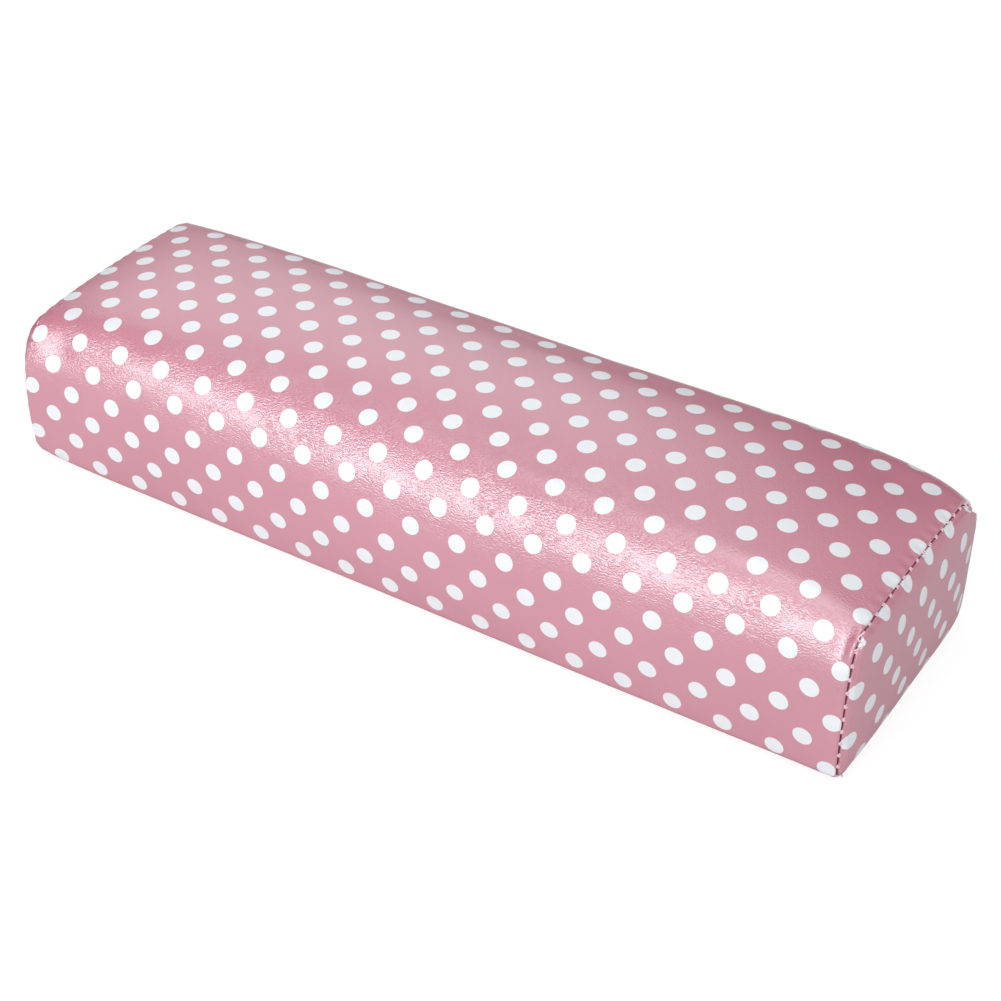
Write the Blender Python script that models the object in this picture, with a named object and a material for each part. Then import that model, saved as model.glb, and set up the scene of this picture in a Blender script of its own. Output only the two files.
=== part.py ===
"""Manicure hand rest: a sponge block sewn into a cover of polka dot coated fabric.

Metres, +Z up. X runs along the length, the front is at -Y, and the origin is on the surface that the
rest stands on, under its middle. The cover is three sheets. A sleeve goes once round the block and is
closed by a seam under the middle of the base. A panel closes each end, in a seam whose two edges are
turned in between sleeve and panel. The block is slotted where those turned edges lie.
"""

import math

import bmesh
import bpy

# Whole rest
OVERALL_LENGTH = 0.300
PANEL_BULGE = 0.003  # how far the sponge pushes the middle of each end panel out

# Cross-section in the middle and at the ends, seen along X
MIDDLE_WIDTH = 0.0862
END_WIDTH = 0.0880
MIDDLE_HEIGHT = 0.0564
END_HEIGHT = 0.0517
MIDDLE_CROWN = 0.0058  # rise of the padded top above its long edges
END_CROWN = 0.0015
MIDDLE_SIDE_BULGE = 0.0042
END_SIDE_BULGE = 0.0014
TOP_RADIUS = 0.0114
BASE_RADIUS = 0.0035
END_CORNER_RADIUS = 0.0045

# How suddenly the middle section turns into the end section: powers of the distance from the middle
SECTION_POWER = 7
CORNER_POWER = 14
BULGE_POWER = 2.5

# Cover and sewing
COVER_THICKNESS = 0.0008
FOLD_INNER_RADIUS = 0.0006
END_ALLOWANCE = 0.005  # straight part of each edge that is turned in at an end seam
BASE_ALLOWANCE = 0.006
SEAM_GAP = 0.0003  # between the two sheets of a seam
THREAD_RADIUS = 0.0002
CLEARANCE = 0.0003  # between pieces that touch
BASE_SEAM_END = 0.012  # the base seam's turned edges lie flat this close to an end
BASE_SEAM_FADE = 0.008  # and take this much length to stand up

# Print: staggered dots, in rows along the length
DOT_DIAMETER = 0.0061
DOT_PITCH = 0.01637
ROW_PITCH = 0.00912
CREST_ROW = -0.892  # row number at the crest of the top
MIDDLE_DOT = 13.387  # half pitches from a dot of row 0 to the middle of the length
PANEL_DOT_Y = -0.0343  # a dot on the right end panel
PANEL_DOT_Z = 0.0418

# How finely curves are divided
TOP_CORNER_STEPS = 6
BASE_CORNER_STEPS = 3
FOLD_STEPS = 4
TOP_STEPS = 4
SIDE_STEPS = 3
CREASE_RADIUS = 0.0004  # smallest corner left where a ring has moved in past the corner's own radius
EDGE_STEP = 0.0006  # spacing of the fold's points where the base seam lies flat
STATIONS = (0.25, 0.5, 0.68, 0.8)  # outlines between the middle and the seams, as shares of the half length
PANEL_RINGS = (0.85, 0.6, 0.3)  # sizes of the rings inside an end panel's seam

HALF_LENGTH = OVERALL_LENGTH / 2 - PANEL_BULGE
HALF_GAP = SEAM_GAP / 2
FOLD_RADIUS = FOLD_INNER_RADIUS + COVER_THICKNESS
# Distance from the sharp edge that sleeve and panel would make to the centre of each fold
FOLD_REACH = FOLD_RADIUS + math.sqrt(2) * (FOLD_RADIUS + HALF_GAP)
CORE_INSET = COVER_THICKNESS + CLEARANCE

PINK = (0.62, 0.22, 0.29, 1.0)
DOT_WHITE = (0.86, 0.85, 0.88, 1.0)
SPONGE = (0.83, 0.78, 0.62, 1.0)
THREAD_ROSE = (0.50, 0.17, 0.23, 1.0)


def blend(middle, end, x, power):
    """A size at x: the middle value, turning into the end value near the ends."""
    return middle + (end - middle) * min(abs(x) / HALF_LENGTH, 1.0) ** power


def arc(centre_y, centre_z, radius, start, stop, steps):
    """Points round a corner, angles in degrees."""
    angles = [math.radians(start + (stop - start) * i / steps) for i in range(steps + 1)]
    return [(centre_y + radius * math.cos(a), centre_z + radius * math.sin(a)) for a in angles]


def half_section(x, inset):
    """Half of the outline at x, moved in by inset: (y, z) from the base, up the back, to the crest."""
    half_width = blend(MIDDLE_WIDTH, END_WIDTH, x, SECTION_POWER) / 2 - inset
    height = blend(MIDDLE_HEIGHT, END_HEIGHT, x, SECTION_POWER) - 2 * inset
    crown = blend(MIDDLE_CROWN, END_CROWN, x, SECTION_POWER)
    bulge = blend(MIDDLE_SIDE_BULGE, END_SIDE_BULGE, x, SECTION_POWER)
    top = max(blend(TOP_RADIUS, END_CORNER_RADIUS, x, CORNER_POWER) - inset, CREASE_RADIUS)
    base = max(blend(BASE_RADIUS, END_CORNER_RADIUS, x, CORNER_POWER) - inset, CREASE_RADIUS)
    points = [(half_width * 0.5, 0.0)]
    points += arc(half_width - base, base, base, -90, 0, BASE_CORNER_STEPS)
    side = height - base - top
    points += [(half_width, base + side * i / SIDE_STEPS) for i in range(1, SIDE_STEPS)]
    points += arc(half_width - top, height - top, top, 0, 90, TOP_CORNER_STEPS)
    flat = half_width - top
    points += [(flat * (1 - i / TOP_STEPS), height) for i in range(1, TOP_STEPS + 1)]
    padded = []
    for y, z in points:
        across, up = y / half_width, z / height
        padded.append((
            y + bulge * (1 - (2 * up - 1) ** 2) * across**4,
            z + inset + crown * (1 - across**2) * up**2,
        ))
    return padded


def both_halves(half):
    """The front half from its start to the crest, then the back half from the crest to its start."""
    front = [(-y, z) for y, z in half]
    return front + half[-2::-1]


def ring(x, inset):
    """A closed outline at x, as 3D points from the middle of the base."""
    points = [(0.0, inset)] + both_halves(half_section(x, inset))
    return [(x, y, z) for y, z in points]


def sleeve_turn(depth, extra=0.0):
    """The sleeve's turned edge, depth behind its outer face: (x past the end, inset) pairs.

    The fold turns the sheet by 135 degrees, so that it runs in along the line that halves the edge.
    """
    radius = FOLD_RADIUS - depth
    angles = [math.radians(-90 + 135 * i / FOLD_STEPS) for i in range(FOLD_STEPS + 1)]
    points = [(-FOLD_REACH + radius * math.cos(a), FOLD_RADIUS + radius * math.sin(a)) for a in angles]
    run = (END_ALLOWANCE + extra) / math.sqrt(2)
    return points + [(points[-1][0] - run, points[-1][1] + run)]


def panel_turn(depth, extra=0.0):
    """The end panel's turned edge: the sleeve's, mirrored in the line that halves the edge."""
    return [(-inset, -past) for past, inset in sleeve_turn(depth, extra)]


def stations():
    """Places along the length where the sleeve and the block have an outline of their own."""
    seam = [HALF_LENGTH - BASE_SEAM_END - BASE_SEAM_FADE, HALF_LENGTH - BASE_SEAM_END]
    last = HALF_LENGTH - FOLD_REACH
    right = sorted([s * HALF_LENGTH for s in STATIONS] + seam + [(seam[1] + last) / 2])
    return [-x for x in reversed(right)] + [0.0] + right


def base_edge(x, inset, depth):
    """The sheet's edge at the base seam: (y, z) from its turned-up tip to the underside."""
    standing = (HALF_LENGTH - BASE_SEAM_END - abs(x)) / BASE_SEAM_FADE
    standing = min(max(standing, 0.0), 1.0)
    radius = FOLD_RADIUS - depth
    centre_y, centre_z = HALF_GAP + FOLD_RADIUS, inset + radius
    folded = [(centre_y - radius, centre_z + BASE_ALLOWANCE)]
    folded += arc(centre_y, centre_z, radius, 180, 270, FOLD_STEPS)
    flat = [(HALF_GAP + EDGE_STEP * i, inset) for i in range(len(folded))]
    return [
        (y1 + (y2 - y1) * standing, z1 + (z2 - z1) * standing) for (y1, z1), (y2, z2) in zip(flat, folded)
    ]


def sheet_path(x, inset, depth):
    """One face of the sleeve at x, from one edge of the base seam round to the other."""
    points = both_halves(base_edge(x, inset, depth) + half_section(x, inset))
    return [(x, y, z) for y, z in points]


def sleeve_places(depth):
    """(x, inset) of every outline of the sleeve's face, from the left turned edge to the right one."""
    turned = [(HALF_LENGTH + past, inset) for past, inset in sleeve_turn(depth)]
    middle = [(x, depth) for x in stations()]
    return [(-x, inset) for x, inset in reversed(turned)] + middle + turned


def end_disc(depth, extra=0.0):
    """Rings over one end, from the turned edge to the middle, with the bulge, at the right end."""
    rings = [ring(HALF_LENGTH + past, inset) for past, inset in reversed(panel_turn(depth, extra))]
    edge = rings[-1]
    face_x = edge[0][0]
    half_width = max(y for x, y, z in edge)
    half_height = (max(z for x, y, z in edge) - edge[0][2]) / 2
    centre_z = edge[0][2] + half_height
    for size in PANEL_RINGS:
        points = []
        for _, y, z in edge:
            y, z = y * size, (z - centre_z) * size
            swell = (1 - abs(y / half_width) ** BULGE_POWER) * (1 - abs(z / half_height) ** BULGE_POWER)
            points.append((face_x + PANEL_BULGE * swell, y, centre_z + z))
        rings.append(points)
    return rings, (face_x + PANEL_BULGE, 0.0, centre_z)


def mirrored(points):
    return [(-x, y, z) for x, y, z in points]


def thread_seat():
    """How far a thread lies out from the centres of the two folds that it rests on."""
    return math.sqrt((FOLD_RADIUS + CLEARANCE + THREAD_RADIUS) ** 2 - (FOLD_RADIUS + HALF_GAP) ** 2)


def cloth_material(name):
    """Coated fabric: metallic rose with white dots, which follow the sheet's own measure."""
    material = bpy.data.materials.new(name)
    material.use_nodes = True
    nodes, links = material.node_tree.nodes, material.node_tree.links
    shader = nodes["Principled BSDF"]
    shader.inputs["Roughness"].default_value = 0.38

    def maths(operation, first, second=0.0):
        node = nodes.new("ShaderNodeMath")
        node.operation = operation
        for socket, value in zip(node.inputs, (first, second)):
            if isinstance(value, (int, float)):
                socket.default_value = value
            else:
                links.new(value, socket)
        return node.outputs[0]

    measure = nodes.new("ShaderNodeUVMap")
    measure.uv_map = "sheet"
    split = nodes.new("ShaderNodeSeparateXYZ")
    links.new(measure.outputs[0], split.inputs[0])
    along = maths("DIVIDE", split.outputs[0], DOT_PITCH)
    across = maths("DIVIDE", split.outputs[1], 2 * ROW_PITCH)
    rising = maths("ADD", along, across)
    falling = maths("SUBTRACT", along, across)
    rising = maths("SUBTRACT", rising, maths("ROUND", rising))
    falling = maths("SUBTRACT", falling, maths("ROUND", falling))
    offset_along = maths("MULTIPLY", maths("ADD", rising, falling), DOT_PITCH / 2)
    offset_across = maths("MULTIPLY", maths("SUBTRACT", rising, falling), ROW_PITCH)
    distance = maths("SQRT", maths("ADD", maths("POWER", maths("ABSOLUTE", offset_along), 2),
                                   maths("POWER", maths("ABSOLUTE", offset_across), 2)))
    dot = maths("LESS_THAN", distance, DOT_DIAMETER / 2)
    colour = nodes.new("ShaderNodeMix")
    colour.data_type = "RGBA"
    links.new(dot, colour.inputs["Factor"])
    colour.inputs["A"].default_value = PINK
    colour.inputs["B"].default_value = DOT_WHITE
    links.new(colour.outputs["Result"], shader.inputs["Base Color"])
    links.new(maths("MULTIPLY", maths("SUBTRACT", 1.0, dot), 0.55), shader.inputs["Metallic"])
    material.diffuse_color = PINK
    return material


def plain_material(name, colour, roughness):
    material = bpy.data.materials.new(name)
    material.use_nodes = True
    shader = material.node_tree.nodes["Principled BSDF"]
    shader.inputs["Base Color"].default_value = colour
    shader.inputs["Roughness"].default_value = roughness
    material.diffuse_color = colour
    return material


def finish_mesh(name, work, material):
    bmesh.ops.recalc_face_normals(work, faces=work.faces)
    mesh = bpy.data.meshes.new(name)
    work.to_mesh(mesh)
    work.free()
    mesh.materials.append(material)
    mesh.shade_smooth()
    mesh.set_sharp_from_angle(angle=math.radians(50))
    item = bpy.data.objects.new(name, mesh)
    bpy.context.collection.objects.link(item)
    return item


def loft(work, rings):
    """Faces between closed outlines of equally many points, one after the other."""
    made = [[work.verts.new(point) for point in points] for points in rings]
    for first, second in zip(made, made[1:]):
        for i in range(len(first)):
            j = (i + 1) % len(first)
            work.faces.new((first[i], first[j], second[j], second[i]))
    return made


def close_to_point(work, edge, point):
    middle = work.verts.new(point)
    for i in range(len(edge)):
        work.faces.new((edge[i], edge[(i + 1) % len(edge)], middle))


def lay_measure(work, measures):
    """Writes each corner's place on the flat sheet, in metres, into the map called sheet."""
    layer = work.loops.layers.uv.new("sheet")
    for face in work.faces:
        for corner in face.loops:
            corner[layer].uv = measures[corner.vert]


def girth(points):
    """Distance of each point of an outline from the crest, negative on the front."""
    lengths = [0.0]
    for (_, y1, z1), (_, y2, z2) in zip(points, points[1:]):
        lengths.append(lengths[-1] + math.hypot(y2 - y1, z2 - z1))
    crest = lengths[len(lengths) // 2]
    return [length - crest for length in lengths]


def make_sleeve(material):
    work = bmesh.new()
    outer = [sheet_path(x, inset, 0.0) for x, inset in sleeve_places(0.0)]
    inner = [sheet_path(x, inset, COVER_THICKNESS) for x, inset in sleeve_places(COVER_THICKNESS)]
    made = loft(work, [a + b[::-1] for a, b in zip(outer, inner)])
    for edge in (made[0], made[-1]):
        for i in range(len(edge) // 2 - 1):
            work.faces.new((edge[i], edge[i + 1], edge[-2 - i], edge[-1 - i]))
    measures = {}
    for verts, a, b in zip(made, outer, inner):
        across = girth(a) + girth(b)[::-1]
        for vert, distance in zip(verts, across):
            along = vert.co.x + MIDDLE_DOT * DOT_PITCH / 2
            measures[vert] = (along, CREST_ROW * ROW_PITCH - distance)
    lay_measure(work, measures)
    return finish_mesh("sleeve", work, material)


def make_end_panel(name, side, material):
    work = bmesh.new()
    outer, outer_middle = end_disc(0.0)
    inner, inner_middle = end_disc(COVER_THICKNESS)
    rings = outer[::-1] + inner
    middles = [outer_middle, inner_middle]
    if side < 0:
        rings = [mirrored(points) for points in rings]
        middles = mirrored(middles)
    made = loft(work, rings)
    close_to_point(work, made[0], middles[0])
    close_to_point(work, made[-1], middles[1])
    measures = {}
    for vert in work.verts:
        measures[vert] = (side * vert.co.y - PANEL_DOT_Y, vert.co.z - PANEL_DOT_Z)
    lay_measure(work, measures)
    return finish_mesh(name, work, material)


def make_core(material):
    """The block, slotted round each end and under the base for the turned edges of the cover."""
    turned = sleeve_turn(CORE_INSET, CLEARANCE)
    sleeve_side = [ring(HALF_LENGTH + past, inset) for past, inset in turned]
    disc, middle = end_disc(CORE_INSET, CLEARANCE)
    right = sleeve_side + disc
    left = [mirrored(points) for points in reversed(right)]
    work = bmesh.new()
    made = loft(work, left + [ring(x, CORE_INSET) for x in stations()] + right)
    close_to_point(work, made[0], mirrored([middle])[0])
    close_to_point(work, made[-1], middle)
    core = finish_mesh("foam_core", work, material)

    slot = bpy.data.meshes.new("base_slot_cutter")
    half = HALF_GAP + CORE_INSET
    mouth = CORE_INSET + FOLD_INNER_RADIUS - CLEARANCE
    low = -FOLD_RADIUS
    top = COVER_THICKNESS + FOLD_INNER_RADIUS + BASE_ALLOWANCE + CLEARANCE
    spread = half + mouth - low
    profile = [(-spread, low), (spread, low), (half, mouth), (half, top), (-half, top), (-half, mouth)]
    end = HALF_LENGTH - BASE_SEAM_END + CLEARANCE
    work = bmesh.new()
    made = loft(work, [[(x, y, z) for y, z in profile] for x in (-end, end)])
    for edge in made:
        work.faces.new(edge)
    bmesh.ops.recalc_face_normals(work, faces=work.faces)
    work.to_mesh(slot)
    work.free()
    cutter = bpy.data.objects.new("base_slot_cutter", slot)
    bpy.context.collection.objects.link(cutter)
    cutter.hide_render = True
    cutter.display_type = "WIRE"
    cut = core.modifiers.new("base slot", "BOOLEAN")
    cut.operation = "DIFFERENCE"
    cut.solver = "EXACT"
    cut.object = cutter
    return core


def make_thread(name, points, closed, material):
    line = bpy.data.curves.new(name, "CURVE")
    line.dimensions = "3D"
    line.bevel_depth = THREAD_RADIUS
    line.bevel_resolution = 1
    line.use_fill_caps = not closed
    spline = line.splines.new("POLY")
    spline.points.add(len(points) - 1)
    spline.use_cyclic_u = closed
    for target, point in zip(spline.points, points):
        target.co = (*point, 1.0)
    line.materials.append(material)
    item = bpy.data.objects.new(name, line)
    bpy.context.collection.objects.link(item)
    return item


def end_seam_route():
    """The stitching lies in the groove between the folds, all the way round the right end."""
    centres = (FOLD_REACH + FOLD_RADIUS) / math.sqrt(2)
    sunk = (centres - thread_seat()) / math.sqrt(2)
    return ring(HALF_LENGTH - sunk, sunk)


def base_seam_route():
    end = HALF_LENGTH - BASE_SEAM_END - BASE_SEAM_FADE - CLEARANCE
    z = FOLD_RADIUS - thread_seat()
    return [(-end, 0.0, z), (0.0, 0.0, z), (end, 0.0, z)]


def build():
    for item in list(bpy.data.objects):
        bpy.data.objects.remove(item)
    cover = cloth_material("dotted_cover")
    sponge = plain_material("sponge", SPONGE, 0.95)
    thread = plain_material("sewing_thread", THREAD_ROSE, 0.6)
    make_sleeve(cover)
    make_end_panel("end_panel_right", 1, cover)
    make_end_panel("end_panel_left", -1, cover)
    make_core(sponge)
    right_seam = end_seam_route()
    make_thread("end_seam_thread_right", right_seam, True, thread)
    make_thread("end_seam_thread_left", mirrored(right_seam), True, thread)
    make_thread("base_seam_thread", base_seam_route(), False, thread)


build()
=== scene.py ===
# %% [markdown]
# # A manicure hand rest in dotted coated fabric
# This lesson dresses a sewn hand rest: a long sponge block in a cover of shiny rose leatherette with
# white dots. The solid model is loaded first and never changed. It gives the frame, in metres, with X
# along the rest, the front at -Y and the table at Z = 0. Every piece made here stands for one of its
# nodes and stays in that node's place.

# %% Load the solid model
import math

import bmesh
import bpy
import numpy as np
from mathutils import Matrix, Vector, kdtree, noise


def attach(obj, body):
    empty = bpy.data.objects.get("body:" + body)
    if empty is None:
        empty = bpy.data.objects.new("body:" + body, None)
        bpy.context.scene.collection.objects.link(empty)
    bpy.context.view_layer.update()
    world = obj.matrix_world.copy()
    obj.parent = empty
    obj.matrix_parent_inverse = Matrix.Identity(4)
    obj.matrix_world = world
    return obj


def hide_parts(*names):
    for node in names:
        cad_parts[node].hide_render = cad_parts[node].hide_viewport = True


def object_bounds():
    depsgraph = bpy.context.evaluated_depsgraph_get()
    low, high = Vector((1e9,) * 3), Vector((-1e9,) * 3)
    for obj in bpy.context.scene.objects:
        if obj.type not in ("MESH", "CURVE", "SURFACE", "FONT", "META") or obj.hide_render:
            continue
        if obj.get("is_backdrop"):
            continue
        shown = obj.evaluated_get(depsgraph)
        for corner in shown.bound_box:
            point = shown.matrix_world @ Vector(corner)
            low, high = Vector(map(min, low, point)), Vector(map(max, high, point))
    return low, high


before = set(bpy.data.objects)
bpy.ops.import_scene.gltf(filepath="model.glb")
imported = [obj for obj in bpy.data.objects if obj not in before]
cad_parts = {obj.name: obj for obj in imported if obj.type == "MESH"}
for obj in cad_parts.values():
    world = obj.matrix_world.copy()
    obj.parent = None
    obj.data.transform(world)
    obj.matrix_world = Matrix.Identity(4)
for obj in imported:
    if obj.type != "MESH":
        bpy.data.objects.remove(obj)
solid_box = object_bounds()
print("nodes:", sorted(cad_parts))

# %% [markdown]
# ## Sizes of the rest
# The cover is made of three sheets. One long sleeve goes round the block, and a panel closes each end.
# The block is fuller in the middle than at its ends, where the seams hold it in. The solids are plain
# and mirrored. A sewn rest isn't, so these sizes stay close to theirs and add uneven sides: the left
# end is fuller and rounder than the right one, the far corner of the top is rounder than the near one,
# and the foot of the front stands a little forward.

# %% Sizes
OVERALL_LENGTH = 0.300
PANEL_BULGE = 0.003
HALF_LENGTH = OVERALL_LENGTH / 2 - PANEL_BULGE  # from the middle to an end seam
MIDDLE_WIDTH, MIDDLE_HEIGHT = 0.0862, 0.0564
MIDDLE_CROWN, MIDDLE_SIDE_BULGE = 0.0045, 0.0031
END_WIDTH = (0.0897, 0.0876)  # a pair is for the left end and the right end
BACK_END_WIDTH = (0.0900, 0.0794)
END_HEIGHT = (0.0518, 0.0519)
END_CROWN = (0.0018, 0.0015)
END_SIDE_BULGE = (0.0034, 0.0016)
BACK_END_BULGE = (0.0030, 0.0074)
BACK_END_SAG = (1.0, 0.7)  # under 1, the bulge is fullest below the middle of the side
BASE_FORWARD = 0.0013
TOP_RADIUS, BACK_TOP_RADIUS, BASE_RADIUS = 0.0105, (0.0150, 0.0068), 0.0035
FRONT_END_RADIUS, BACK_END_RADIUS = (0.0110, 0.0048), (0.0115, 0.0112)
BASE_END_RADIUS = (0.0085, 0.0030)
FRONT_DROP = 1.5  # the front bend is this much taller than it is deep
SECTION_POWER, CORNER_POWER = 7, (13, 26)  # the higher, the nearer to the end a size changes
COVER_THICKNESS = 0.0007
FOLD_RADIUS = 0.0007
END_ALLOWANCE = 0.005
BASE_ALLOWANCE = 0.006
HALF_GAP = 0.00015
BASE_SEAM_END, BASE_SEAM_FADE = 0.012, 0.008
FOLD_REACH = FOLD_RADIUS + math.sqrt(2) * (FOLD_RADIUS + HALF_GAP)
HALF_TURN = math.radians(135)
ROOT_HALF = math.sqrt(0.5)

# %% [markdown]
# ## The outline of the block
# Seen from an end, the rest is a rounded rectangle that the sponge pushes outwards. A circular corner
# next to a straight side shows as a hard line in a shiny cover, because the bend starts all at once.
# So each corner is a superellipse, whose bend starts and ends gently, a little larger than the circle
# that it stands for. The outline is sampled finely and then cut into equal steps, because rows of
# equal width on the cloth are what keeps the printed dots round.

# %% The outline
CURVE_POWER = 2.4
CORNER_GROWTH = 1.17
SMALLEST_CORNER = 0.0004
BASE_START = 0.003  # the outline starts this far from the base's middle, beside its seam
BASE_STEPS, TOP_STEPS, STRAIGHT_STEPS = 40, 60, 60


def blend(middle, end, x, power):
    """A size at x: the middle value, turning into the end value near the ends."""
    end, power = [value[0 if x < 0 else 1] if isinstance(value, tuple) else value for value in (end, power)]
    return middle + (end - middle) * min(abs(x) / HALF_LENGTH, 1.0) ** power


def corner(centre_y, centre_z, radius, drop, steps, top):
    """Points round one corner, from the base or the side, towards the side or the top."""
    turns = np.linspace(0.0, math.pi / 2, steps + 1)
    if not top:
        turns = turns[::-1]
    near = np.cos(turns).clip(0) ** (2 / CURVE_POWER) * radius
    far = np.sin(turns).clip(0) ** (2 / CURVE_POWER) * drop
    return np.stack([centre_y + near, centre_z + (far if top else -far)], axis=1)


def half_outline(x, inset, back=False):
    """Half of the outline at x, moved in by inset, from near the base's middle to the crest."""
    end_radius = BACK_END_RADIUS if back else FRONT_END_RADIUS
    end_bulge = BACK_END_BULGE if back else END_SIDE_BULGE
    half_width = blend(MIDDLE_WIDTH, BACK_END_WIDTH if back else END_WIDTH, x, SECTION_POWER) / 2 - inset
    height = blend(MIDDLE_HEIGHT, END_HEIGHT, x, SECTION_POWER) - 2 * inset
    crown = blend(MIDDLE_CROWN, END_CROWN, x, SECTION_POWER)
    bulge = blend(MIDDLE_SIDE_BULGE, end_bulge, x, SECTION_POWER)
    middle_radius = np.interp(x, (-HALF_LENGTH, HALF_LENGTH), BACK_TOP_RADIUS) if back else TOP_RADIUS
    top = blend(middle_radius, end_radius, x, CORNER_POWER) - inset
    base = blend(BASE_RADIUS, BASE_END_RADIUS, x, CORNER_POWER) - inset
    top, base = [max(radius, SMALLEST_CORNER) * CORNER_GROWTH for radius in (top, base)]
    drop = top if back else top * FRONT_DROP
    side = np.linspace(base, height - drop, STRAIGHT_STEPS)[1:-1]
    flat = np.linspace(half_width - top, 0.0, STRAIGHT_STEPS)[1:]
    points = np.concatenate([
        [[BASE_START, 0.0]],
        corner(half_width - base, base, base, base, BASE_STEPS, top=False),
        np.stack([np.full_like(side, half_width), side], axis=1),
        corner(half_width - top, height - drop, top, drop, TOP_STEPS, top=True),
        np.stack([flat, np.full_like(flat, height)], axis=1),
    ])
    across, up = points[:, 0] / half_width, points[:, 1] / height
    sag = blend(1.0, BACK_END_SAG, x, SECTION_POWER) if back else 1.0
    y = points[:, 0] + bulge * (1 - (2 * up.clip(0, 1) ** sag - 1) ** 2) * across**4
    if not back:
        y = y + BASE_FORWARD * (1 - up) ** 2 * across**4 * (1 - (x / HALF_LENGTH) ** 4)
    z = points[:, 1] + inset + crown * (1 - across**2) * up**2
    return np.stack([y, z], axis=1)


def travelled(points):
    """How far along the line each of its points lies."""
    return np.concatenate([[0.0], np.cumsum(np.hypot(*np.diff(points, axis=0).T))])


def even_steps(points, count):
    """The same line in equal steps."""
    places = travelled(points)
    wanted = np.linspace(0.0, places[-1], count + 1)
    return np.stack([np.interp(wanted, places, points[:, i]) for i in (0, 1)], axis=1)


girth = 2 * (travelled(half_outline(0.0, 0.0))[-1] + BASE_START)
print(f"round the middle {girth * 1000:.1f} mm")

# %% [markdown]
# ## How the edges turn in
# At an end seam the edge of the sleeve rolls over through three eighths of a turn and runs inwards,
# face to face with the edge of the panel, which is the same roll mirrored. A list of places along the
# length says how far past the seam and how far in from the surface each column of the sheet lies, and
# how much cloth it takes to get there.

# %% Places along the sleeve
FOLD_STEPS = 9
ALLOWANCE_STEPS = 3
# distances from the start of a fold to the columns before it, wider and wider apart
NEAR_SEAM = np.cumsum([0.5, 0.6, 0.8, 1.0, 1.2, 1.5, 1.8, 2.2, 2.6, 3.0, 3.5, 4.0]) / 1000
MIDDLE_STEPS = 24


def turned_edge():
    """The roll at an end: rows of (past the seam, inset, cloth used), from its start inwards."""
    turns = np.linspace(0.0, HALF_TURN, FOLD_STEPS + 1)
    past = -FOLD_REACH + FOLD_RADIUS * np.sin(turns)
    inset = FOLD_RADIUS - FOLD_RADIUS * np.cos(turns)
    roll = np.stack([past, inset, FOLD_RADIUS * turns], axis=1)
    run = np.linspace(0.0, END_ALLOWANCE, ALLOWANCE_STEPS + 1)[1:, None]
    straight = roll[-1] + run * np.array([-ROOT_HALF, ROOT_HALF, 1.0])
    return np.concatenate([roll, straight])


def sleeve_columns():
    """Every column of the sleeve from the left edge to the right: (x, inset, cloth from the middle)."""
    start = HALF_LENGTH - FOLD_REACH
    middle = np.linspace(0.0, start - NEAR_SEAM[-1], MIDDLE_STEPS + 1)[1:]
    plain = np.concatenate([middle, start - NEAR_SEAM[::-1][1:]])
    plain = np.stack([plain, np.zeros_like(plain), plain], axis=1)
    turned = turned_edge() + np.array([HALF_LENGTH, 0.0, start])
    right = np.concatenate([plain, turned])
    left = right[::-1] * np.array([-1.0, 1.0, -1.0])
    return np.concatenate([left, [[0.0, 0.0, 0.0]], right])


columns = sleeve_columns()
print(len(columns), "columns, cloth length", round(columns[-1, 2] * 2000, 1), "mm")

# %% [markdown]
# ## Stitches and the marks they leave
# A sewn seam is held only at its stitches. At each one the two folds are pulled together and down, and
# between them the seam opens into a short dark slit. The cloth beside the seam follows for a few
# millimetres, as small puckers. The sleeve and both panels take their pull from one function, so that
# their folds meet, and it is a little uneven, as on a real machine seam.

# %% The pull of the stitches
STITCHES = 57
STITCH_WIDTH = 0.0015
STITCH_PULL = 0.00018
SEAM_OPENING = 0.00007
PUCKER_REACH = 0.0022
PULL_SWAY, OPENING_SWAY = 0.5, 0.6
STITCH_PITCH = 2 * travelled(half_outline(HALF_LENGTH, FOLD_RADIUS))[-1] / STITCHES
SWAYS = 23.0  # slow changes on the way round a seam
SEAM_SEED = {1.0: 2.0, -1.0: 7.0}


def seam_pull(share):
    """How hard the seam is held at each share of the way round it: 1 at a stitch, 0 between two."""
    place = share * STITCHES
    offset = (place - np.round(place)) * STITCH_PITCH
    return np.exp(-(offset / STITCH_WIDTH) ** 2)


def seam_sway(share, side):
    """A slow unevenness round the seam, from -1 to 1."""
    return np.array([noise.noise(Vector((s * SWAYS, SEAM_SEED[side], 0.5))) for s in share])


def near_seam(distance):
    """1 on the fold, fading to 0 within a few millimetres of cloth."""
    return math.exp(-((distance / PUCKER_REACH) ** 2))


def seam_marks(share, side, distance):
    """How far the cloth is pulled in by the stitches, and how far back from the seam it is moved."""
    pull = seam_pull(share)
    sway = seam_sway(share, side)
    deeper = pull * STITCH_PULL * (1 + PULL_SWAY * sway)
    opened = (1 - pull) * SEAM_OPENING * (1 + OPENING_SWAY * sway) * math.sqrt(2)
    return deeper * near_seam(distance), (opened + deeper) * near_seam(distance * 1.5)


# %% [markdown]
# ## Laying a sheet on the block
# The sheet starts as a flat grid. Its rows run along the length and its columns go round. Each column
# is laid on the outline at its own place and inset. The two long edges turn up into the seam under the
# base, except near the ends, where they lie flat so that they don't collide with the end seams.

# %% Rows round the block
HALF_ROWS = 190
EDGE_ROWS = 8
EDGE_STEP = 0.0003
BASE_FOLD_STEPS = EDGE_ROWS - 2
BASE_SHARE = 0.022  # share of the half way round that lies before the outline's start


def base_standing(x):
    """How far the turned-up edges of the base seam stand: 0 near the ends, 1 elsewhere."""
    return min(max((HALF_LENGTH - BASE_SEAM_END - abs(x)) / BASE_SEAM_FADE, 0.0), 1.0)


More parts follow.
